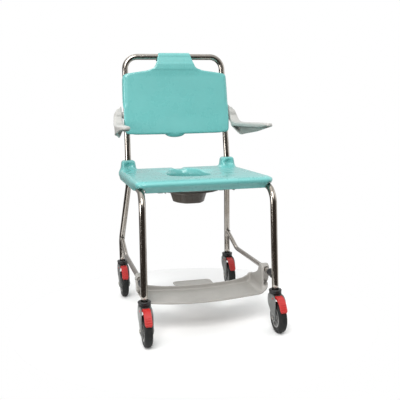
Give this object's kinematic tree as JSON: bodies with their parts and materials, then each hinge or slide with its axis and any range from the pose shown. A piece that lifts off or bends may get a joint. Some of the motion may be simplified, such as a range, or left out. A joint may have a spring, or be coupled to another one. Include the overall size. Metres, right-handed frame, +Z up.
{
  "type": "commode chair",
  "caption": "Wheeled shower commode chair: bent steel frame, moulded seat with opening, hooked-on backrest, lift-up armrests, slide-in footrest, slide-out pan and braked castors.",
  "frame": {"origin": "on the floor, at the middle of the bottom of the bounding box", "axes": "+Z up, -Y towards the front of the chair, where the sitter's feet are, +X to the sitter's left"},
  "size_m": [0.518, 0.65, 0.9345],
  "materials": {
    "steel_tube": "polished stainless tube",
    "fastener_steel": "satin",
    "turquoise_plastic": "semi-gloss moulded",
    "arm_plastic": "fine-grained moulded",
    "foot_plastic": "fine-grained moulded",
    "pan_plastic": "semi-gloss moulded",
    "black_plastic": "moulded",
    "fork_plastic": "moulded nylon",
    "red_plastic": "moulded nylon",
    "tyre_rubber": "matte"
  },
  "bodies": {
    "frame": {"rear_tube_left": "steel_tube", "front_tube_left": "steel_tube", "footrest_rail_left": "steel_tube", "rail_clamp_left": "black_plastic", "seat_clip_front_left": "black_plastic", "seat_clip_rear_left": "black_plastic", "arm_hub_left": "arm_plastic", "arm_pin_left": "fastener_steel", "pan_rail_left": "foot_plastic", "rear_tube_right": "steel_tube", "front_tube_right": "steel_tube", "footrest_rail_right": "steel_tube", "rail_clamp_right": "black_plastic", "seat_clip_front_right": "black_plastic", "seat_clip_rear_right": "black_plastic", "arm_hub_right": "arm_plastic", "arm_pin_right": "fastener_steel", "pan_rail_right": "foot_plastic", "push_bar": "steel_tube", "cross_tube_front": "steel_tube", "cross_tube_rear": "steel_tube", "seat": "turquoise_plastic", "backrest": "turquoise_plastic", "castor_collar_front_left": "black_plastic", "castor_collar_front_right": "black_plastic", "castor_collar_rear_left": "black_plastic", "castor_collar_rear_right": "black_plastic"},
    "castor_front_left_swivel": {"castor_fork_front_left": "fork_plastic", "castor_king_pin_front_left": "fastener_steel", "castor_axle_front_left": "fastener_steel"},
    "castor_front_left_wheel": {"castor_tyre_front_left": "tyre_rubber", "castor_hub_front_left": "fork_plastic"},
    "castor_front_left_pedal": {"castor_pedal_front_left": "red_plastic"},
    "castor_front_right_swivel": {"castor_fork_front_right": "fork_plastic", "castor_king_pin_front_right": "fastener_steel", "castor_axle_front_right": "fastener_steel"},
    "castor_front_right_wheel": {"castor_tyre_front_right": "tyre_rubber", "castor_hub_front_right": "fork_plastic"},
    "castor_front_right_pedal": {"castor_pedal_front_right": "red_plastic"},
    "castor_rear_left_swivel": {"castor_fork_rear_left": "fork_plastic", "castor_king_pin_rear_left": "fastener_steel", "castor_axle_rear_left": "fastener_steel"},
    "castor_rear_left_wheel": {"castor_tyre_rear_left": "tyre_rubber", "castor_hub_rear_left": "fork_plastic"},
    "castor_rear_left_pedal": {"castor_pedal_rear_left": "red_plastic"},
    "castor_rear_right_swivel": {"castor_fork_rear_right": "fork_plastic", "castor_king_pin_rear_right": "fastener_steel", "castor_axle_rear_right": "fastener_steel"},
    "castor_rear_right_wheel": {"castor_tyre_rear_right": "tyre_rubber", "castor_hub_rear_right": "fork_plastic"},
    "castor_rear_right_pedal": {"castor_pedal_rear_right": "red_plastic"},
    "arm_left": {"arm_left": "arm_plastic"},
    "arm_right": {"arm_right": "arm_plastic"},
    "footrest": {"footrest": "foot_plastic", "footrest_screw_left": "fastener_steel", "footrest_screw_right": "fastener_steel"},
    "pan": {"pan": "pan_plastic"}
  },
  "joints": [
    {"name": "castor_front_left_swivel", "type": "hinge", "parent": "frame", "child": "castor_front_left_swivel", "pos_m": [-0.216, -0.2445, 0.115], "axis": [0, 0, 1], "continuous": true},
    {"name": "castor_front_left_roll", "type": "hinge", "parent": "castor_front_left_swivel", "child": "castor_front_left_wheel", "pos_m": [-0.216, -0.2745, 0.05], "axis": [1, 0, 0], "continuous": true},
    {"name": "castor_front_left_brake", "type": "hinge", "parent": "castor_front_left_swivel", "child": "castor_front_left_pedal", "pos_m": [-0.216, -0.2715, 0.113], "axis": [-1, 0, 0], "range_deg": [0, 20]},
    {"name": "castor_front_right_swivel", "type": "hinge", "parent": "frame", "child": "castor_front_right_swivel", "pos_m": [0.216, -0.2445, 0.115], "axis": [0, 0, 1], "continuous": true},
    {"name": "castor_front_right_roll", "type": "hinge", "parent": "castor_front_right_swivel", "child": "castor_front_right_wheel", "pos_m": [0.216, -0.2745, 0.05], "axis": [1, 0, 0], "continuous": true},
    {"name": "castor_front_right_brake", "type": "hinge", "parent": "castor_front_right_swivel", "child": "castor_front_right_pedal", "pos_m": [0.216, -0.2715, 0.113], "axis": [-1, 0, 0], "range_deg": [0, 20]},
    {"name": "castor_rear_left_swivel", "type": "hinge", "parent": "frame", "child": "castor_rear_left_swivel", "pos_m": [-0.216, 0.3045, 0.115], "axis": [0, 0, 1], "continuous": true},
    {"name": "castor_rear_left_roll", "type": "hinge", "parent": "castor_rear_left_swivel", "child": "castor_rear_left_wheel", "pos_m": [-0.216, 0.2745, 0.05], "axis": [1, 0, 0], "continuous": true},
    {"name": "castor_rear_left_brake", "type": "hinge", "parent": "castor_rear_left_swivel", "child": "castor_rear_left_pedal", "pos_m": [-0.216, 0.2775, 0.113], "axis": [-1, 0, 0], "range_deg": [0, 20]},
    {"name": "castor_rear_right_swivel", "type": "hinge", "parent": "frame", "child": "castor_rear_right_swivel", "pos_m": [0.216, 0.3045, 0.115], "axis": [0, 0, 1], "continuous": true},
    {"name": "castor_rear_right_roll", "type": "hinge", "parent": "castor_rear_right_swivel", "child": "castor_rear_right_wheel", "pos_m": [0.216, 0.2745, 0.05], "axis": [1, 0, 0], "continuous": true},
    {"name": "castor_rear_right_brake", "type": "hinge", "parent": "castor_rear_right_swivel", "child": "castor_rear_right_pedal", "pos_m": [0.216, 0.2775, 0.113], "axis": [-1, 0, 0], "range_deg": [0, 20]},
    {"name": "arm_left_lift", "type": "hinge", "parent": "frame", "child": "arm_left", "pos_m": [-0.2065, 0.23555, 0.705], "axis": [-1, 0, 0], "range_deg": [0, 100]},
    {"name": "arm_right_lift", "type": "hinge", "parent": "frame", "child": "arm_right", "pos_m": [0.2065, 0.23555, 0.705], "axis": [-1, 0, 0], "range_deg": [0, 100]},
    {"name": "footrest_slide", "type": "slide", "parent": "frame", "child": "footrest", "axis": [0, 1, 0], "range_m": [0, 0.22]},
    {"name": "pan_slide", "type": "slide", "parent": "frame", "child": "pan", "axis": [0, 1, 0], "range_m": [0, 0.32]}
  ]
}
